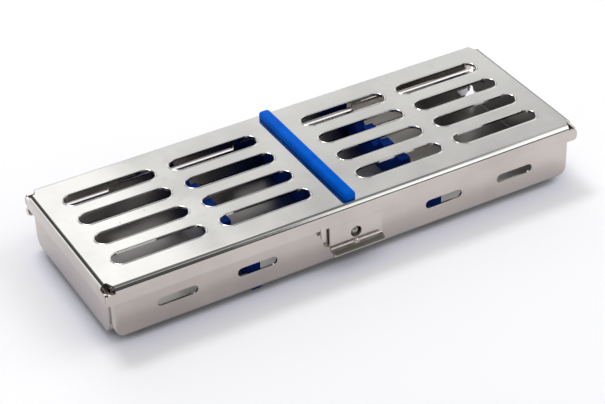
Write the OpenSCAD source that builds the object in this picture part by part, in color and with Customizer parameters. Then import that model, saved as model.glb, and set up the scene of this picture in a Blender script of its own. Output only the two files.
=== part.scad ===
// Dental instrument cassette: a folded steel tray with a hinged, slotted lid.
// Silicone strips in the tray carry five instruments and one in the lid holds them down.
// Origin: middle of the footprint, on the surface that the cassette stands on.
// +X runs along the cassette, -Y is the front with the latch, +Z is up.

/* [Case] */
// Length of the lid over its end skirts
lid_length = 180; // [150:1:230]
// Width of the lid over its front and rear skirts
lid_width = 64.5; // [58:0.5:90]
// Height from the underside of the tray to the top of the lid
case_height = 21.5; // [20.5:0.5:28]
// Thickness of the steel sheet
sheet = 0.8; // [0.7:0.05:0.9]
// Depth of the lid's skirts below its top
skirt_depth = 6.3; // [5.6:0.1:6.8]
// Outside radius of the bends along the lid's edges
lid_bend = 2; // [1.4:0.1:2.2]
// Running gap between the long walls and the lid's long skirts
side_gap = 0.6; // [0.6:0.05:0.8]
// Gap between the end walls and the lid's end skirts
end_gap = 0.6; // [0.3:0.05:0.9]
// Gap between the tops of the walls and the underside of the lid
top_gap = 0.3; // [0.3:0.05:0.5]

/* [Lid corners] */
// Length of a corner's open notch along the long edge
corner_cut = 3.4; // [2.4:0.1:4.4]
// Length of a corner's open notch along the end edge
corner_cut_end = 4.2; // [2.8:0.1:5]
// Depth of a corner's notch below the lid's top
corner_cut_depth = 2.1; // [1.5:0.1:2.6]
// Radius at the outer ends of the long skirts
skirt_end_r = 1.3; // [0.8:0.1:1.6]
// Width of the open seam where two skirts meet
skirt_seam = 0.25; // [0.15:0.05:0.4]

/* [Lid slots] */
// Length of a slot over its round ends
slot_length = 33; // [26:0.5:34]
// Width of a slot
slot_width = 6.5; // [4.5:0.1:7]
// Distance between the rows of slots
slot_row_pitch = 12.4; // [10:0.1:13]
// Distance from the middle of the lid to the inner slots
slot_inner_x = 25.8; // [22:0.1:27]
// Distance from the middle of the lid to the outer slots
slot_outer_x = 64.8; // [62:0.1:68]
// Radius of the rounded rim round a slot
rim_r = 0.4; // [0.35:0.01:0.45]
// Height of the rim above the lid
rim_rise = 0.14; // [0.08:0.01:0.2]

/* [Tray] */
// Outside radius of the bends along the floor
floor_bend = 1.8; // [1.4:0.1:2.4]
// Radius of the lower corners of the walls
wall_corner = 6; // [4:0.5:7]
// Outside radius of the upright bends at the ends of the long walls
upright_bend = 1.3; // [1:0.1:1.6]
// Length of the tabs that lie inside the end walls
tab_length = 8; // [5:0.5:12]
// Gap between an upright bend and the edge of the end wall
seam = 0.9; // [0.3:0.05:1.2]
// Length of a drain opening in the front wall
opening_length = 14.6; // [10:0.1:18]
// Height of a drain opening
opening_height = 3.3; // [2.8:0.1:4]
// Distance from the middle to the inner drain openings
opening_inner_x = 36; // [30:0.5:42]
// Distance from the middle to the outer drain openings
opening_outer_x = 65; // [61:0.5:70]
// Distance of the openings' middle below the lid's top
opening_drop = 12.5; // [11:0.1:13]

/* [Hinge] */
// Diameter of the hinge pin
pin_d = 1.8; // [1.6:0.05:2]
// Radial clearance of the pin in the knuckles
pin_fit = 0.05; // [0.03:0.01:0.08]
// Distance of the hinge axis below the lid's top
hinge_drop = 9.6; // [9.4:0.1:10]
// Distance between the tray's knuckles
knuckle_pitch = 48.5; // [42:0.5:52]
// Width of a tray knuckle
knuckle_width = 19.4; // [12:0.1:22]
// Offset of the tray's middle knuckle from the middle of the cassette
knuckle_shift = -1.9; // [-3:0.1:3]
// Side play between neighbouring knuckles
knuckle_play = 0.35; // [0.25:0.05:0.5]
// Radius of the pin's riveted ends
pin_head_r = 1.3; // [1.15:0.05:1.45]
// Thickness of the pin's riveted ends
pin_head_t = 0.4; // [0.3:0.05:0.5]

/* [Latch] */
// Offset of the latch from the middle of the front
latch_x = 0.5; // [-3:0.1:3]
// Width of the latch tongue
tongue_width = 20.3; // [17:0.1:23]
// Distance from the lid's top to the start of the bend into the lip
tongue_drop = 14.8; // [14.4:0.1:15.2]
// Distance from the lid's top to the line where the tongue flexes
flex_drop = 6.9; // [6.85:0.05:7.2]
// Gap between the tongue's rounded root and its seat in the skirt
flex_gap = 0.04; // [0.03:0.01:0.06]
// Reach of the finger lip in front of the tongue
lip_reach = 2.9; // [2.2:0.1:3.4]
// Width of the finger lip
lip_width = 19.8; // [16:0.1:19.9]
// Radius of the lip's outer corners
lip_corner = 1; // [0.6:0.1:1.6]
// Outside radius of the bend between tongue and lip
lip_bend = 1.4; // [1.2:0.1:1.6]
// Angle that the lip is bent outwards from the tongue
lip_turn = 70; // [65:1:80]
// Radius of the round stiffener pressed into the middle of the bend
dimple_r = 1.2; // [1:0.05:1.3]
// Distance of the latch hole below the lid's top
stud_drop = 11.5; // [11.3:0.1:11.7]
// Radius of the hole in the tongue
latch_hole_r = 2.1; // [2.05:0.05:2.4]
// Radius of the stud's head
stud_head_r = 1.7; // [1.5:0.05:1.75]
// Height of the stud's head
stud_head_h = 1.2; // [1:0.05:1.25]
// Radius of the stud's shank
stud_shank_r = 1; // [0.8:0.05:1.2]
// Radius of the flat tail inside the tray
stud_tail_r = 1.6; // [1.4:0.05:1.9]
// Thickness of the tail
stud_tail_t = 0.45; // [0.3:0.05:0.6]

/* [Latch guard] */
// Width of the guard beside the tongue
guard_width = 1.5; // [1.4:0.1:3]
// Gap between the guard and the tongue
guard_gap = 1.9; // [0.8:0.1:2]
// How far the guard stands in front of the skirt
guard_step = 0.45; // [0.3:0.05:0.6]
// Distance from the lid's top to the guard's upper end
guard_top_drop = 5.2; // [4.8:0.1:5.4]
// Distance from the lid's top to the guard's lower end
guard_drop = 10; // [8.8:0.1:12]

/* [Silicone strips] */
// Thickness of a strip
strip_width = 4.2; // [3.2:0.1:5]
// Thickness of a strip's neck in its slot
neck_width = 2.2; // [1.6:0.1:2.6]
// Clearance round a neck
neck_fit = 0.08; // [0.05:0.01:0.12]
// Gap left under a strip's shoulder and over its head
shoulder_fit = 0.05; // [0.03:0.01:0.1]
// Distance between neighbouring rest strips
strip_pitch = 35.3; // [28:0.1:38]
// Gap between a rest strip's end and the long wall
rest_end_gap = 2.55; // [1.6:0.05:5]
// Height of a rest strip above the tray's floor
rest_height = 11.5; // [9:0.1:12]
// Width of the post at each end of a rest strip
end_post = 3.3; // [2.4:0.1:5]
// Radius of a notch's round bottom
notch_r = 3; // [2.4:0.1:3.2]
// Depth of a notch
notch_depth = 3.7; // [3.3:0.1:5]
// Number of instruments
notch_count = 5; // [3:2:5]
// Distance from the end of the hold-down strip to the lid's long edge
hold_end_gap = 2.25; // [1.8:0.05:6]
// Height of the hold-down strip's rib above the lid
rib_height = 2.5; // [2:0.1:3]
// Gap between the hold-down strip and the tops of the rest strips
hold_gap = 2.4; // [1.5:0.1:4]
// Height of the rest strips' heads, on which the cassette stands
foot_height = 2.2; // [1.8:0.1:3]
// Radius along the edges of the feet and the pressing edge
head_round = 0.9; // [0.5:0.05:1.2]
// Radius along the upper edges of the rib on the lid
rib_round = 1; // [0.6:0.05:1.5]
// Solid end of a strip beyond the end of its neck
neck_end = 3.5; // [2:0.1:6]

/* [Hidden] */

steel = "lightgray";
silicone = "royalblue";
arc_n = 64;
small_n = 40;
// Overrun of every cut past the face that it leaves
over = 1;
// Share of the bead's radius between its middle and the edge of the slot
rim_share = 0.75;
row_shares = [-1.5, -0.5, 0.5, 1.5];

tray_z = foot_height;
floor_z = tray_z + sheet;
lid_z = tray_z + case_height;
lid_under = lid_z - sheet;
skirt_z = lid_z - skirt_depth;
half_l = lid_length / 2;
half_w = lid_width / 2;
skirt_in_x = half_l - sheet;
skirt_in_y = half_w - sheet;
notch_z = lid_z - corner_cut_depth;
// Slant of a notch's inner side, as shares of its two lengths
corner_slant_shares = [0.65, 0.32];
tray_x = skirt_in_x - end_gap;
tray_y = skirt_in_y - side_gap;
tray_in_x = tray_x - sheet;
tray_in_y = tray_y - sheet;
wall_top = lid_under - top_gap;

// The long walls turn inside the end walls: outer face of those tabs
tab_x = tray_in_x - flex_gap;
long_wall_half = tab_x - upright_bend;
end_wall_half = tray_y - upright_bend - seam;

// Hinge: the outside of a rolled knuckle is tangent to the inside of the lid's rear skirt
bore_r = pin_d / 2 + pin_fit;
knuckle_r = bore_r + sheet;
hinge_y = skirt_in_y + knuckle_r;
hinge_z = lid_z - hinge_drop;
// The rolled sheet's flat leaf stops this far short of the axis
leaf_stop_share = 0.18;
curl_slit_share = 0.4;
rear_top_share = 0.58;
jog_top_share = 1.25;
jog_foot_share = 2.6;
leaf_stop = knuckle_r * leaf_stop_share;
curl_slit = sheet * curl_slit_share;
curl_angle = 115;
rear_top = hinge_z - knuckle_r * rear_top_share;
jog_top = hinge_z - knuckle_r * jog_top_share;
jog_foot = hinge_z - knuckle_r * jog_foot_share;
tray_stations = [knuckle_shift - knuckle_pitch, knuckle_shift, knuckle_shift + knuckle_pitch];
// Each lid knuckle fills the stretch between two tray knuckles or beyond the last one
hinge_half = skirt_in_x - pin_head_t;
station_half = knuckle_width / 2 + knuckle_play;
lid_spans = [[-hinge_half, tray_stations[0] - station_half],
             [tray_stations[0] + station_half, tray_stations[1] - station_half],
             [tray_stations[1] + station_half, tray_stations[2] - station_half],
             [tray_stations[2] + station_half, hinge_half]];
pin_half = hinge_half + knuckle_play / 2;

// Latch
skin_y = half_w - sheet / 2;
flex_z = lid_z - flex_drop;
root_r = sheet / 2;
seat_r = root_r + flex_gap;
tongue_z = lid_z - tongue_drop;
lip_in_r = lip_bend - sheet;
lip_root_y = -half_w - lip_in_r;
lip_length = (lip_reach - lip_in_r + lip_in_r * cos(lip_turn)) / sin(lip_turn);
stud_z = lid_z - stud_drop;
stud_hole_r = stud_shank_r + shoulder_fit;
// Side play of the tongue's root in its seat, both sides together
relief = 0.25;
dimple_in_share = 0.25;
dimple_down_share = 0.6;
dimple_y = -half_w + sheet * dimple_in_share;
dimple_z = tongue_z - dimple_r * dimple_down_share;
guard_x = latch_x - tongue_width / 2 - guard_gap - guard_width / 2;
guard_slope_share = 3.4;
guard_neck_share = 1.2;
guard_round_share = 0.45;
guard_face_y = -half_w - guard_step;
guard_top_z = lid_z - guard_top_drop;
guard_bend_z = guard_top_z - guard_step * guard_slope_share;
guard_z = lid_z - guard_drop;

// Strips
strip_places = [-strip_pitch, 0, strip_pitch];
rest_length = 2 * (tray_in_y - rest_end_gap);
hold_length = lid_width - 2 * hold_end_gap;
notch_pitch = (rest_length - 2 * end_post - 2 * notch_r) / (notch_count - 1);
neck_half = rest_length / 2 - neck_end;
hold_neck_half = hold_length / 2 - neck_end;
foot_top = tray_z - shoulder_fit;
rest_foot = floor_z + shoulder_fit;
rest_top = floor_z + rest_height;
notch_bottom = rest_top - notch_depth;
rib_foot = lid_z + shoulder_fit;
hold_top = lid_under - shoulder_fit;
hold_bottom = rest_top + hold_gap;

// A flat outline in Y and Z, drawn out along X about the middle
module along_x(length) {
    rotate([90, 0, 90]) linear_extrude(length, center = true) children();
}

// A flat outline in X and Z, drawn out along Y about the middle
module along_y(length) {
    rotate([90, 0, 0]) linear_extrude(length, center = true) children();
}

// Upright plate outline with round lower corners
module round_foot(half, low, high, r) {
    translate([-half, low + r]) square([2 * half, high - low - r]);
    translate([-half + r, low]) square([2 * (half - r), r + over]);
    for (side = [-1, 1])
        translate([side * (half - r), low + r]) circle(r, $fn = arc_n);
}

// The same with round upper corners
module round_head(half, low, high, r) {
    translate([-half, low]) square([2 * half, high - low - r]);
    translate([-half + r, high - r - over]) square([2 * (half - r), r + over]);
    for (side = [-1, 1])
        translate([side * (half - r), high - r]) circle(r, $fn = arc_n);
}

// Slot outline with round ends, along the first axis
module obround(length, width) {
    square([length - width, width], center = true);
    for (side = [-1, 1])
        translate([side * (length - width) / 2, 0]) circle(width / 2, $fn = arc_n);
}

// Rounded bead round a slot, half sunk in the sheet
module slot_rim(length, width) {
    reach = width / 2 + rim_r * rim_share;
    straight = length - width;
    translate([0, 0, lid_z + rim_rise - rim_r]) {
        for (side = [-1, 1]) {
            translate([0, side * reach, 0]) rotate([0, 90, 0])
                cylinder(straight, rim_r, rim_r, center = true, $fn = small_n);
            translate([side * straight / 2, 0, 0]) rotate([0, 0, -side * 90])
                rotate_extrude(angle = 180, $fn = arc_n)
                    translate([reach, 0]) circle(rim_r, $fn = small_n);
        }
    }
}

module at_lid_slots() {
    for (x = [-slot_outer_x, -slot_inner_x, slot_inner_x, slot_outer_x])
        for (row = row_shares)
            translate([x, row * slot_row_pitch, 0]) children();
}

// Rolled hinge knuckle round the pin; up is 1 where the sheet comes from above
module knuckle(length, up) {
    along_x(length) difference() {
        union() {
            translate([hinge_y, hinge_z]) circle(knuckle_r, $fn = arc_n);
            children();
        }
        translate([hinge_y, hinge_z]) circle(bore_r, $fn = arc_n);
        translate([hinge_y, hinge_z]) rotate(up * curl_angle)
            translate([0, -curl_slit / 2]) square([knuckle_r + over, curl_slit]);
    }
}

module lid_leaf() {
    translate([skirt_in_y, hinge_z + leaf_stop])
        square([sheet, skirt_z - hinge_z - leaf_stop + sheet]);
}

module tray_leaf() {
    polygon([[tray_in_y, jog_foot - sheet], [tray_y, jog_foot - sheet], [tray_y, jog_foot],
             [half_w, jog_top], [half_w, hinge_z - leaf_stop],
             [skirt_in_y, hinge_z - leaf_stop], [skirt_in_y, jog_top], [tray_in_y, jog_foot]]);
}

// Folded sheet of the tray before its openings
module tray_sheet() {
    // Front wall, floor and rear wall
    intersection() {
        union() {
            along_x(2 * long_wall_half) difference() {
                round_foot(tray_y, tray_z, wall_top, floor_bend);
                round_foot(tray_in_y, floor_z, wall_top + over, floor_bend - sheet);
                translate([0, rear_top]) square([half_w, case_height]);
            }
            corner_tabs();
        }
        along_y(lid_width) round_foot(tab_x, tray_z, wall_top, wall_corner);
    }
    // End walls and floor
    intersection() {
        along_y(2 * end_wall_half) difference() {
            round_foot(tray_x, tray_z, wall_top, floor_bend);
            round_foot(tray_in_x, floor_z, wall_top + over, floor_bend - sheet);
        }
        along_x(lid_length) round_foot(end_wall_half, tray_z, wall_top, wall_corner);
    }
}

// Upright bends at the ends of the long walls, with the tabs inside the end walls
module corner_tabs() {
    for (side = [-1, 1]) {
        scale([side, 1, 1]) corner_tab(wall_top);
        scale([side, -1, 1]) corner_tab(rear_top);
    }
}

module corner_tab(top) {
    translate([0, 0, tray_z]) linear_extrude(top - tray_z) difference() {
        translate([long_wall_half, -tray_y + upright_bend]) circle(upright_bend, $fn = arc_n);
        translate([long_wall_half, -tray_y + upright_bend])
            circle(upright_bend - sheet, $fn = arc_n);
        translate([long_wall_half - half_l, -half_w]) square([half_l, lid_width]);
        translate([0, -tray_y + upright_bend]) square([half_l, half_w]);
    }
    translate([tab_x - sheet, -tray_y + upright_bend, tray_z + wall_corner])
        cube([sheet, tab_length, top - tray_z - wall_corner]);
}

module base_tray() {
    color(steel) union() {
        difference() {
            tray_sheet();
            for (x = [-opening_outer_x, -opening_inner_x, opening_inner_x, opening_outer_x])
                translate([x, -tray_y, lid_z - opening_drop])
                    along_y(2 * (sheet + over)) obround(opening_length, opening_height);
            for (x = strip_places)
                translate([x, 0, tray_z - over]) linear_extrude(sheet + 2 * over)
                    rotate(90) obround(2 * (neck_half + neck_fit), neck_width + 2 * neck_fit);
            translate([latch_x, -tray_y, stud_z]) rotate([90, 0, 0])
                cylinder(2 * (sheet + over), stud_hole_r, stud_hole_r, center = true, $fn = arc_n);
            // The rear wall ends where a leaf of the hinge takes over
            for (x = tray_stations)
                translate([x - knuckle_width / 2, tray_in_y - over, jog_foot])
                    cube([knuckle_width, sheet + 2 * over, case_height]);
        }
        for (x = tray_stations)
            translate([x, 0, 0]) knuckle(knuckle_width, -1) tray_leaf();
    }
}

// Lid block with round upper edges
module lid_block(half_x, half_y, low, high, r) {
    intersection() {
        along_x(2 * half_x) round_head(half_y, low, high, r);
        along_y(2 * half_y) round_head(half_x, low, high, r);
    }
}

// Top of the lid and its four folded skirts
module lid_shell() {
    difference() {
        lid_block(half_l, half_w, skirt_z, lid_z, lid_bend);
        lid_block(skirt_in_x, skirt_in_y, skirt_z - over, lid_under, lid_bend - sheet);
        for (a = [-1, 1], b = [-1, 1])
            scale([a, b, 1]) {
                lid_corner_notch();
                skirt_end_corner(skirt_z, 1);
                skirt_end_corner(notch_z, -1);
                translate([skirt_in_x - over, skirt_in_y - skirt_seam, skirt_z - over])
                    cube([sheet + 2 * over, skirt_seam, skirt_depth + over]);
            }
    }
}

// What is cut off to round a long skirt's end, upwards or downwards from edge_z
module skirt_end_corner(edge_z, way) {
    middle_z = edge_z + way * skirt_end_r;
    translate([0, half_w - skirt_seam / 2 - (sheet - over) / 2, 0]) along_y(sheet + over)
        difference() {
            translate([half_l - skirt_end_r, min(edge_z - way * over, middle_z)])
                square(skirt_end_r + over);
            translate([half_l - skirt_end_r, middle_z]) circle(skirt_end_r, $fn = arc_n);
        }
}

// Open notch where two folds meet at a corner
module lid_corner_notch() {
    translate([0, 0, notch_z]) linear_extrude(corner_cut_depth + over)
        polygon([[half_l - corner_cut, half_w + over],
                 [half_l - corner_cut, half_w - corner_cut_end * corner_slant_shares[1]],
                 [half_l - corner_cut * corner_slant_shares[0], half_w - corner_cut_end],
                 [half_l + over, half_w - corner_cut_end],
                 [half_l + over, half_w + over]]);
}

module lid_panel() {
    color(steel) difference() {
        union() {
            lid_shell();
            at_lid_slots() slot_rim(slot_length, slot_width);
            lid_knuckles();
            front_skirt_extras();
        }
        at_lid_slots() translate([0, 0, lid_under - over])
            linear_extrude(sheet + rim_r + 2 * over) obround(slot_length, slot_width);
        translate([0, 0, lid_under - over]) linear_extrude(sheet + 2 * over)
            rotate(90) obround(2 * (hold_neck_half + neck_fit), neck_width + 2 * neck_fit);
        // Concave seat of the tongue's root
        translate([latch_x, -skin_y, flex_z]) rotate([0, 90, 0])
            cylinder(tongue_width + relief, seat_r, seat_r, center = true, $fn = arc_n);
    }
}

module lid_knuckles() {
    for (span = lid_spans)
        translate([(span[0] + span[1]) / 2, 0, 0])
            knuckle(span[1] - span[0], 1) lid_leaf();
}

// Root strip above the tongue and the guard at its left
module front_skirt_extras() {
    translate([latch_x - tongue_width / 2, -half_w, flex_z])
        cube([tongue_width, sheet, skirt_z - flex_z]);
    intersection() {
        translate([guard_x, 0, 0]) along_x(guard_width)
            polygon([[-skin_y, guard_top_z], [-half_w, guard_top_z],
                     [guard_face_y, guard_bend_z], [guard_face_y, guard_z],
                     [guard_face_y + sheet, guard_z],
                     [guard_face_y + sheet, guard_bend_z - sheet],
                     [-skin_y, guard_top_z - sheet * guard_neck_share]]);
        translate([guard_x, 0, 0]) along_y(2 * lid_width)
            round_foot(guard_width / 2, guard_z, lid_z, guard_width * guard_round_share);
    }
}

// Spring tongue with its hole, finger lip and bend dimple
module latch_tongue() {
    color(steel) difference() {
        union() {
            translate([latch_x, 0, 0]) along_x(tongue_width - relief) union() {
                translate([-skin_y, flex_z]) circle(root_r, $fn = arc_n);
                translate([-half_w, tongue_z]) square([sheet, flex_z - tongue_z]);
            }
            translate([latch_x, 0, 0]) intersection() {
                along_x(lip_width) lip_profile();
                linear_extrude(lid_z) lip_outline();
            }
            translate([latch_x, dimple_y, dimple_z]) difference() {
                sphere(dimple_r, $fn = arc_n);
                translate([0, sheet - sheet * dimple_in_share + dimple_r, 0])
                    cube(2 * dimple_r, center = true);
                translate([0, 0, -dimple_r]) cube(2 * dimple_r, center = true);
            }
        }
        translate([latch_x, -half_w, stud_z]) rotate([90, 0, 0])
            cylinder(2 * lip_reach, latch_hole_r, latch_hole_r, center = true, $fn = arc_n);
    }
}

// The tongue's foot turned outward into the lip
module lip_profile() {
    reach = 2 * lip_bend;
    translate([lip_root_y, tongue_z]) {
        intersection() {
            difference() {
                circle(lip_bend, $fn = arc_n);
                circle(lip_in_r, $fn = arc_n);
            }
            polygon([[0, 0], [reach, 0], [reach, -reach],
                     [reach * cos(lip_turn), -reach * sin(lip_turn)]]);
        }
        rotate(-lip_turn) translate([lip_in_r, -lip_length]) square([sheet, lip_length]);
    }
}

module lip_outline() {
    r = lip_corner;
    translate([-lip_width / 2, -half_w - lip_reach + r]) square([lip_width, lip_reach + r + sheet]);
    translate([-lip_width / 2 + r, -half_w - lip_reach]) square([lip_width - 2 * r, 2 * r]);
    for (side = [-1, 1])
        translate([side * (lip_width / 2 - r), -half_w - lip_reach + r]) circle(r, $fn = arc_n);
}

module hinge_pin() {
    color("silver") translate([0, hinge_y, hinge_z]) rotate([0, 90, 0]) {
        cylinder(2 * pin_half, pin_d / 2, pin_d / 2, center = true, $fn = arc_n);
        for (side = [-1, 1])
            translate([0, 0, side * (pin_half + pin_head_t / 2)])
                cylinder(pin_head_t, pin_head_r, pin_head_r, center = true, $fn = arc_n);
    }
}

// Round-headed stud riveted through the front wall
module latch_stud() {
    ball_r = (stud_head_r * stud_head_r + stud_head_h * stud_head_h) / (2 * stud_head_h);
    color("silver") translate([latch_x, -tray_y - shoulder_fit / 2, stud_z]) rotate([90, 0, 0]) {
        intersection() {
            translate([0, 0, stud_head_h - ball_r]) sphere(ball_r, $fn = arc_n);
            cylinder(2 * stud_head_h, ball_r, ball_r, $fn = arc_n);
        }
        translate([0, 0, -sheet - shoulder_fit])
            cylinder(sheet + 2 * shoulder_fit, stud_shank_r, stud_shank_r, $fn = arc_n);
        translate([0, 0, -sheet - shoulder_fit - stud_tail_t])
            cylinder(stud_tail_t, stud_tail_r, stud_tail_r, $fn = arc_n);
    }
}

// Rest strip: notched body, neck through the floor and head below it
module rest_strip(x) {
    translate([x, 0, 0]) {
        difference() {
            along_x(strip_width) translate([-rest_length / 2, rest_foot])
                square([rest_length, rest_top - rest_foot]);
            for (n = [0:notch_count - 1])
                translate([0, (n - (notch_count - 1) / 2) * notch_pitch, 0])
                    along_x(strip_width + 2 * over) {
                        translate([0, notch_bottom + notch_r]) circle(notch_r, $fn = arc_n);
                        translate([-notch_r, notch_bottom + notch_r])
                            square([2 * notch_r, notch_depth]);
                    }
        }
        translate([0, 0, foot_top - over / 2])
            linear_extrude(rest_foot - foot_top + over)
                rotate(90) obround(2 * neck_half, neck_width);
        along_y(rest_length) round_foot(strip_width / 2, 0, foot_top, head_round);
    }
}

module left_rest_strip() {
    color(silicone) rest_strip(-strip_pitch);
}

module middle_rest_strip() {
    color(silicone) rest_strip(0);
}

module right_rest_strip() {
    color(silicone) rest_strip(strip_pitch);
}

// Rib on the lid, neck through the lid and pressing edge below it
module hold_down_strip() {
    color(silicone) {
        along_y(hold_length) round_head(strip_width / 2, rib_foot, lid_z + rib_height, rib_round);
        translate([0, 0, hold_top - over / 2]) linear_extrude(rib_foot - hold_top + over)
            rotate(90) obround(2 * hold_neck_half, neck_width);
        along_y(rest_length)
            round_foot(strip_width / 2, hold_bottom, hold_top, head_round);
    }
}

base_tray();
lid_panel();
latch_tongue();
hinge_pin();
latch_stud();
hold_down_strip();
left_rest_strip();
middle_rest_strip();
right_rest_strip();
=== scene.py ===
import bpy
import bmesh
import math
from mathutils import Matrix, Vector


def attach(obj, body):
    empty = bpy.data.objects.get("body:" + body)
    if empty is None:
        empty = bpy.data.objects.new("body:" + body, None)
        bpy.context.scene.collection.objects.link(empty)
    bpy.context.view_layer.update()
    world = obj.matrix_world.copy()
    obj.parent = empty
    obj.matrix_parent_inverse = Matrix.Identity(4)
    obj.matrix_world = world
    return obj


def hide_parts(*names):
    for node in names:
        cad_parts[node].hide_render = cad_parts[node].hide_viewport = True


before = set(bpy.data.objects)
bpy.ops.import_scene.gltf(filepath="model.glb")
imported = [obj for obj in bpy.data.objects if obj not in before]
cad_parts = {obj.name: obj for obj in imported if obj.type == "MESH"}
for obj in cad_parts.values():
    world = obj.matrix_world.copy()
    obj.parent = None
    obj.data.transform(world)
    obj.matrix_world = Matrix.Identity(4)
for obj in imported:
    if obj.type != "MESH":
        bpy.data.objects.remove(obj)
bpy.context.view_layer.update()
MM = 0.001

# The camera's place in millimetres, its azimuth, elevation and roll in degrees, and its lens
CAMERA_PLACE = (-261.6, -474.3, 390.6)
CAMERA_ANGLES = (-28.711, 35.464, -1.780)
CAMERA_LENS = 114.53
CAMERA_SENSOR = 36

# Heights above the ground of the sheets of tray and lid, in millimetres
TRAY_Z = 2.2
FLOOR_Z = 3.0
LID_UNDER = 22.9
LID_Z = 23.7

# Silicone strips, in millimetres. A half is half of a length.
STRIP_W = 4.2
STRIP_PITCH = 35.3
STRIP_HALF = 27.5
STRIP_GAP = 0.05  # between the silicone and the sheet
REST_TOP = 14.5
REST_BEVEL = 0.42
NOTCH_R = 3.0
NOTCH_DEPTH = 3.7
NOTCH_PITCH = 10.6
FOOT_R = 0.9
LEFT_FOOT_FORWARD = 0.8
NECK_W = 2.2
NECK_R = 1.05
NECK_LAP = 0.6  # reach of a neck beyond the sheet that it passes
REST_NECK_HALF = 24
HOLD_NECK_HALF = 26.5
RIB_HALF = 30.0
RIB_RISE = 2.5
RIB_R = 1.0
RIB_R_SHARE = 0.4  # of the drawing in, taken off that radius
RIB_END = 1.0  # length of the rib's drawn-in ends
RIB_END_SHARE = 0.3  # of that length, where the drawing in is as small
PRESS_Z = 16.9
PRESS_R = 0.6
HOLD_BEVEL = 0.3
BEVEL_STEPS = 4
BEVEL_ANGLE = 50

# Colours and tints
SHEET_TONE = (0.567, 0.562, 0.547)
TRAY_TONE = (0.575, 0.560, 0.545)
# Multiplies the tray's tone towards the end at -X, making that end darker
TRAY_MINUS_X_TINT = (0.88, 0.87, 0.87)
PIN_TONE = (0.60, 0.59, 0.57)
STUD_TONE = (0.34, 0.33, 0.32)
SPECK_COLOUR = (0.12, 0.11, 0.10, 1)
HANDLED_TINT = (1.0, 0.93, 0.89)
# Painted dark olive reflection on the latch lip
LIP_PAINTED_REFLECTION_TINT = (0.60, 0.64, 0.58)
DUST_COLOUR = (0.03, 0.30, 0.80, 1)
PAPER = (0.785, 0.782, 0.807, 1)
# Painted bluish shade on the floor close to the object
PAINTED_SHADE_BLUE = (0.745, 0.750, 0.865, 1)
# Painted contact shadow on the floor right below the tray
PAINTED_CONTACT_SHADOW = (0.17, 0.165, 0.17, 1)
WHITE = (1, 1, 1, 1)

# Half sizes in X and Y beyond which a sheet is an outside, in millimetres
OUTSIDE = (88.0, 30.3)
# The lid's face and the tray's matt floor reach this far, in millimetres
FACE_DEPTH = 1.0
MATT_HEIGHT = 0.3
# The latch lip's field with a painted dark olive reflection: middle and half size in X, front and
# rear in Y, in millimetres
LIP_REFLECTION_FIELD = (0.5, 9.5, -35.0, -33.5)

# Floor: half size and reaches of the painted contact shadow and the painted shade, in metres.
# Each glow: X from, to, in metres, then its level at both. The glow keeps the floor white; the
# first is dimmed near the object as painted shade, and the glow's rise towards +X and the third
# glow, beside the left end, are painted light.
FLOOR_HALF = 10.0
CONTACT_REACH = 0.006
SHADE_REACH = 0.015
WHITE_GLOW_IN_PAINTED_SHADE = (-0.25, 0.25, 0.12, 0.14)
# White glow, its rise towards +X painted light that lifts the shade on the right
WHITE_GLOW_AND_PAINTED_LIGHT = (-0.06, 0.06, 0.030, 0.048)
# Painted light that lifts the shade beside the left end
LEFT_PAINTED_LIGHT_GLOW = (-0.115, -0.092, 0.035, 0.0)

# Sky: elevation from, to, in degrees, then its level at both
SKY = (14, 50, 0.22, 0.80)
SLANT_SHARE = 0.9
ROW_SHARE = 0.3
# Cards round the object, each laid over the ones before it.
# round: azimuth from, to (0 is +Y, 90 is +X), elevation from, to, in degrees
# slant: azimuth less a share of the elevation, then the elevation
# row: azimuth, then the elevation and a share of the azimuth
# long: the X part of the direction from, to, then the lean from the zenith to +Y from, to
# then the softness of both edges and the card's level
CARDS = (
    ("round", 85, 180, 16, 60, 8, 8, 2.20),
    ("round", -180, -120, 10, 60, 8, 8, 0.60),
    ("round", -115, 62, 0, 56, 8, 6, 0.40),
    ("round", -16, 38, 0, 20, 3, 3, 1.45),
    ("round", -75, -20, 0, 13, 4, 2, 1.60),
    ("round", -62, -16, 17, 48, 3, 3, 0.10),
    ("round", 16, 62, 23, 39, 3, 2, 1.14),
    ("row", 28, 70, 43.3, 70, 2, 1.6, 0.80),
    ("slant", -40, -8.5, 20, 50, 0.25, 4, 1.72),
    ("long", 0.22, 0.483, -18, 32, 0.02, 4, 0.27),
    ("long", 0.400, 0.85, -52, -24, 0.015, 4, 1.70),
    ("round", 95, 179, 0, 21, 6, 3, 0.22),
    ("long", 0.06, 0.395, -97, -24, 0.015, 5, 0.12),
)


def look_axes(azimuth, elevation, roll):
    """Right, up and back of a camera. Azimuth 0 looks from -Y, in degrees."""
    a, e, r = (math.radians(v) for v in (azimuth, elevation, roll))
    back = Vector((math.sin(a) * math.cos(e), -math.cos(a) * math.cos(e), math.sin(e)))
    right = Vector((0, 0, 1)).cross(back).normalized()
    up = back.cross(right)
    return (math.cos(r) * right + math.sin(r) * up,
            math.cos(r) * up - math.sin(r) * right, back)


def make_camera():
    data = bpy.data.cameras.new("camera")
    data.lens = CAMERA_LENS
    data.sensor_width = CAMERA_SENSOR
    data.sensor_fit = "HORIZONTAL"
    data.clip_start = 0.01
    data.clip_end = 20
    data.dof.use_dof = False
    cam = bpy.data.objects.new("camera", data)
    place = Matrix(look_axes(*CAMERA_ANGLES)).transposed().to_4x4()
    place.translation = Vector(CAMERA_PLACE) * MM
    cam.matrix_world = place
    bpy.context.scene.collection.objects.link(cam)
    bpy.context.scene.camera = cam


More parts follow.
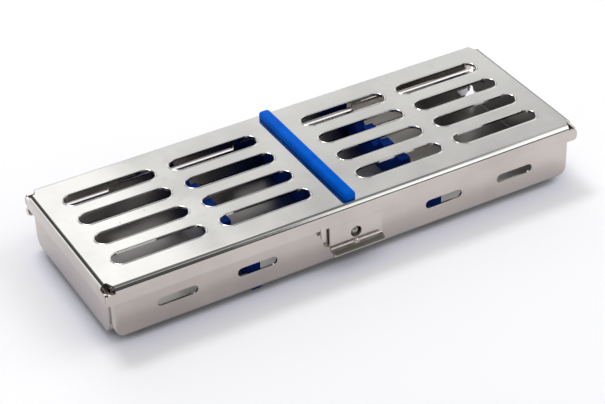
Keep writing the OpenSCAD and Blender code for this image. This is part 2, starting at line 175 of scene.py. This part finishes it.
class Tree:
    """Short calls for building one node tree."""

    def __init__(self, tree):
        self.tree = tree
        tree.nodes.clear()

    def node(self, kind, **settings):
        n = self.tree.nodes.new(kind)
        for key, value in settings.items():
            setattr(n, key, value)
        return n

    def link(self, out, socket):
        self.tree.links.new(out, socket)

    def put(self, socket, value):
        if isinstance(value, bpy.types.NodeSocket):
            self.link(value, socket)
        else:
            socket.default_value = value

    def math(self, operation, a, b=0.0):
        n = self.node("ShaderNodeMath", operation=operation)
        self.put(n.inputs[0], a)
        self.put(n.inputs[1], b)
        return n.outputs[0]

    def ramp(self, value, low, high, to_low=0.0, to_high=1.0):
        n = self.node("ShaderNodeMapRange", interpolation_type="SMOOTHSTEP")
        self.put(n.inputs[0], value)
        for socket, v in zip(n.inputs[1:5], (low, high, to_low, to_high)):
            socket.default_value = v
        return n.outputs[0]

    def noise(self, vector, scale, detail, rough):
        n = self.node("ShaderNodeTexNoise")
        self.put(n.inputs["Vector"], vector)
        n.inputs["Scale"].default_value = scale
        n.inputs["Detail"].default_value = detail
        n.inputs["Roughness"].default_value = rough
        return n.outputs["Fac"]

    def stretch(self, vector, scale):
        n = self.node("ShaderNodeMapping")
        self.put(n.inputs["Vector"], vector)
        n.inputs["Scale"].default_value = scale
        return n.outputs[0]

    def split(self, vector):
        n = self.node("ShaderNodeSeparateXYZ")
        self.link(vector, n.inputs[0])
        return n.outputs

    def mix(self, factor, a, b, blend="MIX"):
        n = self.node("ShaderNodeMix", data_type="RGBA", blend_type=blend)
        self.put(n.inputs[0], factor)
        self.put(n.inputs[6], a)
        self.put(n.inputs[7], b)
        return n.outputs[2]

    def tint(self, factor, colour, by):
        """The colour, multiplied by another one as far as the factor says."""
        return self.mix(factor, colour, by + (1,), "MULTIPLY")

    def bump(self, height, strength, distance, normal=None):
        n = self.node("ShaderNodeBump")
        n.inputs["Strength"].default_value = strength
        n.inputs["Distance"].default_value = distance
        self.put(n.inputs["Height"], height)
        if normal is not None:
            self.put(n.inputs["Normal"], normal)
        return n.outputs[0]

    def openness(self, reach):
        """1 in the open, less where something is closer than the reach."""
        n = self.node("ShaderNodeAmbientOcclusion", samples=8)
        n.inputs["Distance"].default_value = reach
        return n.outputs["AO"]


def material(name):
    m = bpy.data.materials.new(name)
    m.use_nodes = True
    t = Tree(m.node_tree)
    shader = t.node("ShaderNodeBsdfPrincipled")
    out = t.node("ShaderNodeOutputMaterial")
    t.link(shader.outputs[0], out.inputs[0])
    return m, t, shader


def steel(name, tone, rough, grain, matt_below=None, minus_x_tint=None, outside_below=None, painted_reflection=None):
    """Satin stainless sheet: rolling grain along X, soft smudges, fine hairlines and a few specks.

    tone is the colour, rough the roughness and grain the strength of the rolling grain.
    Below the height matt_below the sheet is duller, as a tray's floor is.
    Towards the end at -X the tone is multiplied by a further colour, which makes that end darker.
    Below the height outside_below the outside is warmer, as handling leaves it.
    The last argument is a field with a painted dark olive reflection, as on the latch lip: its
    middle and half size in X, its front and rear in Y.
    Heights and the field are in millimetres.
    """
    m, t, shader = material(name)
    where = t.node("ShaderNodeTexCoord").outputs["Object"]
    smudge = t.noise(where, scale=38, detail=4, rough=0.55)
    cloud = t.noise(where, scale=11, detail=2, rough=0.5)
    rolling = t.noise(t.stretch(where, (60, 2600, 2600)), scale=1, detail=3, rough=0.6)
    hair = t.noise(t.stretch(where, (90, 5200, 5200)), scale=1, detail=2, rough=0.7)
    speck = t.ramp(t.noise(where, scale=420, detail=2, rough=0.5), 0.755, 0.80)
    dark = tuple(0.90 * c for c in tone) + (1,)
    light = tuple(min(1.0, 1.05 * c) for c in tone) + (1,)
    colour = t.mix(t.ramp(smudge, 0.3, 0.7), dark, light)
    colour = t.mix(t.math("MULTIPLY", t.ramp(rolling, 0.35, 0.75), 0.22), colour, light)
    colour = t.mix(t.math("MULTIPLY", speck, 0.55), colour, SPECK_COLOUR)
    x, y, z = t.split(where)
    if minus_x_tint is not None:
        # Darker towards the end at -X
        drift = t.math("ADD", x, t.ramp(cloud, 0.3, 0.7, -0.012, 0.012))
        colour = t.tint(t.ramp(drift, -0.06, 0.06, 1.0, 0.0), colour, minus_x_tint)
    if outside_below is not None:
        soft = 0.3
        beyond = [t.ramp(t.math("ABSOLUTE", way), half * MM, (half + soft) * MM)
                  for way, half in zip((x, y), OUTSIDE)]
        below = t.ramp(z, (outside_below - soft) * MM, outside_below * MM, 1.0, 0.0)
        handled = t.math("MULTIPLY", t.math("MAXIMUM", *beyond), below)
        colour = t.tint(handled, colour, HANDLED_TINT)
    # Painted dark olive reflection on a field of the latch lip
    if painted_reflection is not None:
        middle, half, front, rear = painted_reflection
        soft_x, soft_y = 0.3, 0.15
        aside = t.math("ABSOLUTE", t.math("SUBTRACT", x, middle * MM))
        field = t.math("MULTIPLY", t.ramp(y, front * MM, (front + soft_y) * MM),
                       t.ramp(y, (rear - soft_y) * MM, rear * MM, 1.0, 0.0))
        field = t.math("MULTIPLY", field, t.ramp(aside, (half - soft_x) * MM, half * MM, 1.0, 0.0))
        colour = t.tint(field, colour, LIP_PAINTED_REFLECTION_TINT)
    t.link(colour, shader.inputs["Base Color"])
    shader.inputs["Metallic"].default_value = 1.0
    roughness = t.math("ADD", t.ramp(smudge, 0.25, 0.75, rough - 0.03, rough + 0.05),
                       t.ramp(cloud, 0.3, 0.7, -0.02, 0.03))
    roughness = t.math("ADD", roughness, t.math("MULTIPLY", t.ramp(hair, 0.62, 0.8), 0.08))
    if matt_below is not None:
        soft, duller = 0.1, 0.20
        low = t.ramp(z, (matt_below - soft) * MM, (matt_below + soft) * MM, 1.0, 0.0)
        roughness = t.math("ADD", roughness, t.math("MULTIPLY", low, duller))
    t.link(roughness, shader.inputs["Roughness"])
    normal = t.bump(rolling, grain, 0.00002)
    normal = t.bump(cloud, 0.35, 0.0004, normal)
    t.link(normal, shader.inputs["Normal"])
    return m


def silicone(name, deep, pale):
    """Blue moulded silicone: matt skin with fine grain, dust and a little depth."""
    m, t, shader = material(name)
    where = t.node("ShaderNodeTexCoord").outputs["Object"]
    cloud = t.noise(where, scale=120, detail=4, rough=0.55)
    grain = t.noise(where, scale=5200, detail=2, rough=0.6)
    dust = t.ramp(t.noise(where, scale=900, detail=2, rough=0.5), 0.70, 0.78)
    colour = t.mix(t.ramp(cloud, 0.3, 0.7), deep + (1,), pale + (1,))
    colour = t.mix(t.math("MULTIPLY", dust, 0.18), colour, DUST_COLOUR)
    t.link(colour, shader.inputs["Base Color"])
    shader.inputs["Subsurface Weight"].default_value = 0.12
    shader.inputs["Subsurface Radius"].default_value = (0.0003, 0.0006, 0.0014)
    shader.inputs["Subsurface Scale"].default_value = 1.0
    shader.inputs["IOR"].default_value = 1.41
    shader.inputs["Specular IOR Level"].default_value = 0.02
    t.link(t.ramp(grain, 0.3, 0.7, 0.42, 0.58), shader.inputs["Roughness"])
    t.link(t.bump(grain, 0.25, 0.00003, t.bump(cloud, 0.2, 0.0002)), shader.inputs["Normal"])
    return m


def floor_material():
    """White paper with a painted contact shadow right below the tray and a painted bluish shade
    close to it, and with a glow that the camera and the object's reflections see. The glow is
    dimmed near the object as painted shade, and its rise towards +X and its part beside the left
    end are painted light."""
    m, t, shader = material("studio_floor")
    # Painted contact shadow right below the tray, and painted bluish shade close to it
    painted_contact_mask = t.ramp(t.openness(CONTACT_REACH), 0.25, 0.60)
    shade = t.openness(SHADE_REACH)
    paper = t.mix(t.ramp(shade, 0.55, 0.97), PAINTED_SHADE_BLUE, PAPER)
    t.link(t.mix(painted_contact_mask, PAINTED_CONTACT_SHADOW, paper), shader.inputs["Base Color"])
    shader.inputs["Roughness"].default_value = 0.9
    shader.inputs["Specular IOR Level"].default_value = 0.0
    path = t.node("ShaderNodeLightPath")
    seen = t.math("MAXIMUM", path.outputs["Is Camera Ray"],
                  t.math("MAXIMUM", path.outputs["Is Glossy Ray"],
                         path.outputs["Is Transmission Ray"]))
    x = t.split(t.node("ShaderNodeTexCoord").outputs["Object"])[0]
    # White glow dimmed near the object as painted shade, then painted light: more glow towards +X
    # and beside the left end
    level = t.math("MULTIPLY", t.ramp(x, *WHITE_GLOW_IN_PAINTED_SHADE), shade)
    level = t.math("ADD", level, t.ramp(x, *WHITE_GLOW_AND_PAINTED_LIGHT))
    level = t.math("ADD", level, t.ramp(x, *LEFT_PAINTED_LIGHT_GLOW))
    glow = t.node("ShaderNodeEmission")
    glow.inputs["Color"].default_value = WHITE
    t.link(t.math("MULTIPLY", seen, level), glow.inputs["Strength"])
    both = t.node("ShaderNodeAddShader")
    t.link(shader.outputs[0], both.inputs[0])
    t.link(glow.outputs[0], both.inputs[1])
    out = next(n for n in m.node_tree.nodes if n.type == "OUTPUT_MATERIAL")
    t.link(both.outputs[0], out.inputs[0])
    return m


def dress(node, m):
    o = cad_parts[node]
    if not o.material_slots:
        o.data.materials.append(m)
    for s in o.material_slots:
        s.link = "OBJECT"
        s.material = m


def skin(bm, rings, turned=False):
    """Closed solid over rings of (x, y, z) corners, in millimetres. turned lists the corners of
    each face the other way round; finish_piece makes all the faces look outwards."""
    rings = [[bm.verts.new([v * MM for v in corner]) for corner in ring] for ring in rings]
    first, last = rings[0], rings[-1]
    bm.faces.new(first[::-1] if turned else first)
    bm.faces.new(last if turned else last[::-1])
    n = len(first)
    for low, high in zip(rings, rings[1:]):
        for i in range(n):
            j = (i + 1) % n
            if turned:
                bm.faces.new((low[i], low[j], high[j], high[i]))
            else:
                bm.faces.new((low[j], low[i], high[i], high[j]))


def upright(bm, outline, z0, z1):
    """Closed solid between z0 and z1 from an outline of (x, y) points, in millimetres."""
    skin(bm, [[(x, y, z) for x, y in outline] for z in (z0, z1)], turned=True)


def arc(cx, cy, r, a0, a1, steps):
    return [(cx + r * math.cos(math.radians(a0 + (a1 - a0) * k / steps)),
             cy + r * math.sin(math.radians(a0 + (a1 - a0) * k / steps)))
            for k in range(steps + 1)]


def round_box(hx, hy, r, steps=6):
    """Outline of a rectangle with round corners, counter-clockwise."""
    out = []
    for cx, cy, a in ((hx - r, hy - r, 0), (-hx + r, hy - r, 90),
                      (-hx + r, -hy + r, 180), (hx - r, -hy + r, 270)):
        out += arc(cx, cy, r, a, a + 90, steps)
    return out


def round_top(half, low, high, r, steps=8):
    """Outline of (x, z) points, flat below and with round upper corners, counter-clockwise."""
    return ([(-half, low), (half, low)] + arc(half - r, high - r, r, 0, 90, steps)
            + arc(-half + r, high - r, r, 90, 180, steps))


def finish_piece(name, bm, bevel, body, m):
    """The moulded piece that stands in for the CAD node of that name."""
    bmesh.ops.recalc_face_normals(bm, faces=bm.faces)
    mesh = bpy.data.meshes.new(name + "_moulded")
    bm.to_mesh(mesh)
    bm.free()
    for p in mesh.polygons:
        p.use_smooth = True
    o = bpy.data.objects.new(name + "_moulded", mesh)
    bpy.context.scene.collection.objects.link(o)
    mod = o.modifiers.new("round", "BEVEL")
    mod.width = bevel * MM
    mod.segments = BEVEL_STEPS
    mod.limit_method = "ANGLE"
    mod.angle_limit = math.radians(BEVEL_ANGLE)
    mod.harden_normals = True
    mesh.materials.append(m)
    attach(o, body)
    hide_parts(name)


def rest_strip(name, x, forward=0.0):
    """Notched strip on the tray's floor, with a foot below it that is set forward a little."""
    bm = bmesh.new()
    low = FLOOR_Z + STRIP_GAP
    outline = [(-STRIP_HALF, low), (STRIP_HALF, low), (STRIP_HALF, REST_TOP)]
    for k in range(2, -3, -1):
        y = k * NOTCH_PITCH
        outline.append((y + NOTCH_R, REST_TOP))
        outline += arc(y, REST_TOP - NOTCH_DEPTH + NOTCH_R, NOTCH_R, 0, -180, 16)
        outline.append((y - NOTCH_R, REST_TOP))
    outline.append((-STRIP_HALF, REST_TOP))
    skin(bm, [[(side, y, z) for y, z in outline]
              for side in (x - STRIP_W / 2, x + STRIP_W / 2)])
    neck = [(x + px, py) for px, py in round_box(NECK_W / 2, REST_NECK_HALF, NECK_R)]
    upright(bm, neck, TRAY_Z - NECK_LAP, FLOOR_Z + NECK_LAP)
    foot = [(x + px, py - forward) for px, py in round_box(STRIP_W / 2, STRIP_HALF, FOOT_R)]
    upright(bm, foot, 0.0, TRAY_Z - STRIP_GAP)
    finish_piece(name, bm, REST_BEVEL, "tray", REST_SHADE_SILICONE)


def hold_down(name):
    """Strip through the lid: a rib on top, drawn in a little at both ends, and a pressing edge
    below."""
    bm = bmesh.new()
    part = RIB_END_SHARE * RIB_END
    rings = []
    for y, inset in ((-RIB_HALF, RIB_END), (-RIB_HALF + part, part), (-RIB_HALF + RIB_END, 0.0),
                     (RIB_HALF - RIB_END, 0.0), (RIB_HALF - part, part), (RIB_HALF, RIB_END)):
        section = round_top(STRIP_W / 2 - inset, LID_Z + STRIP_GAP, LID_Z + RIB_RISE - inset,
                            RIB_R - RIB_R_SHARE * inset)
        rings.append([(x, y, z) for x, z in section])
    skin(bm, rings)
    upright(bm, round_box(NECK_W / 2, HOLD_NECK_HALF, NECK_R), LID_UNDER - NECK_LAP,
            LID_Z + NECK_LAP)
    upright(bm, round_box(STRIP_W / 2, STRIP_HALF, PRESS_R), PRESS_Z, LID_UNDER - STRIP_GAP)
    finish_piece(name, bm, HOLD_BEVEL, "lid", HOLD)


def make_floor():
    bm = bmesh.new()
    bmesh.ops.create_grid(bm, x_segments=8, y_segments=8, size=FLOOR_HALF)
    mesh = bpy.data.meshes.new("floor")
    bm.to_mesh(mesh)
    bm.free()
    o = bpy.data.objects.new("floor", mesh)
    bpy.context.scene.collection.objects.link(o)
    mesh.materials.append(floor_material())


def soft_box(name, azimuth, elevation, distance, width, height, radiance):
    """Area lamp seen from the object at that azimuth (0 is +Y, 90 is +X) and elevation."""
    data = bpy.data.lights.new(name, "AREA")
    data.shape = "RECTANGLE"
    data.size = width
    data.size_y = height
    data.energy = radiance * math.pi * width * height
    o = bpy.data.objects.new(name, data)
    a, e = math.radians(azimuth), math.radians(elevation)
    way = Vector((math.sin(a) * math.cos(e), math.cos(a) * math.cos(e), math.sin(e)))
    o.location = way * distance
    o.rotation_euler = way.to_track_quat("Z", "Y").to_euler()
    bpy.context.scene.collection.objects.link(o)


def make_world():
    """Studio of white and grey cards round the object, the same for every kind of ray."""
    world = bpy.data.worlds.new("studio")
    bpy.context.scene.world = world
    world.use_nodes = True
    t = Tree(world.node_tree)
    x, y, z = t.split(t.node("ShaderNodeTexCoord").outputs["Generated"])
    degrees = 180 / math.pi
    azimuth = t.math("MULTIPLY", t.math("ARCTAN2", x, y), degrees)
    elevation = t.math("MULTIPLY", t.math("ARCSINE", z), degrees)
    lean = t.math("MULTIPLY", t.math("ARCTAN2", y, z), degrees)
    slant = t.math("SUBTRACT", azimuth, t.math("MULTIPLY", elevation, SLANT_SHARE))
    row = t.math("ADD", elevation, t.math("MULTIPLY", azimuth, ROW_SHARE))
    kinds = {"round": (azimuth, elevation), "slant": (slant, elevation),
             "row": (azimuth, row), "long": (x, lean)}

    def between(value, low, high, soft):
        return t.math("MULTIPLY", t.ramp(value, low - soft, low + soft),
                      t.ramp(value, high - soft, high + soft, 1.0, 0.0))

    level = t.ramp(elevation, *SKY)
    for kind, a0, a1, e0, e1, soft_a, soft_e, value in CARDS:
        across, up = kinds[kind]
        inside = t.math("MULTIPLY", between(across, a0, a1, soft_a), between(up, e0, e1, soft_e))
        change = t.math("MULTIPLY", inside, t.math("SUBTRACT", value, level))
        level = t.math("ADD", level, change)
    sky = t.node("ShaderNodeBackground")
    sky.inputs["Color"].default_value = WHITE
    t.link(level, sky.inputs["Strength"])
    out = t.node("ShaderNodeOutputWorld")
    t.link(sky.outputs[0], out.inputs[0])


make_camera()
HOLD = silicone("blue_silicone", (0.000, 0.085, 0.51), (0.000, 0.115, 0.61))
# A darker copy of the blue silicone for the strips inside the tray: painted shade
REST_SHADE_SILICONE = silicone("blue_silicone_painted_shade", (0.004, 0.030, 0.22), (0.008, 0.045, 0.32))
dress("base_tray", steel("tray_steel", TRAY_TONE, rough=0.11, grain=0.30,
                         matt_below=FLOOR_Z + MATT_HEIGHT, minus_x_tint=TRAY_MINUS_X_TINT,
                         outside_below=LID_Z))
dress("lid_panel", steel("satin_steel", SHEET_TONE, rough=0.075, grain=0.30,
                         outside_below=LID_Z - FACE_DEPTH))
dress("latch_tongue", steel("latch_steel", SHEET_TONE, rough=0.075, grain=0.30,
                            outside_below=LID_Z - FACE_DEPTH, painted_reflection=LIP_REFLECTION_FIELD))
dress("hinge_pin", steel("bright_steel", PIN_TONE, rough=0.10, grain=0.12))
dress("latch_stud", steel("stud_steel", STUD_TONE, rough=0.10, grain=0.12))
rest_strip("left_rest_strip", -STRIP_PITCH, LEFT_FOOT_FORWARD)
rest_strip("middle_rest_strip", 0.0)
rest_strip("right_rest_strip", STRIP_PITCH)
hold_down("hold_down_strip")

make_floor()
make_world()
soft_box("rear_panel", azimuth=-6, elevation=64, distance=1.5, width=0.42, height=0.32,
         radiance=17.5)
bpy.context.scene.view_settings.view_transform = "Standard"
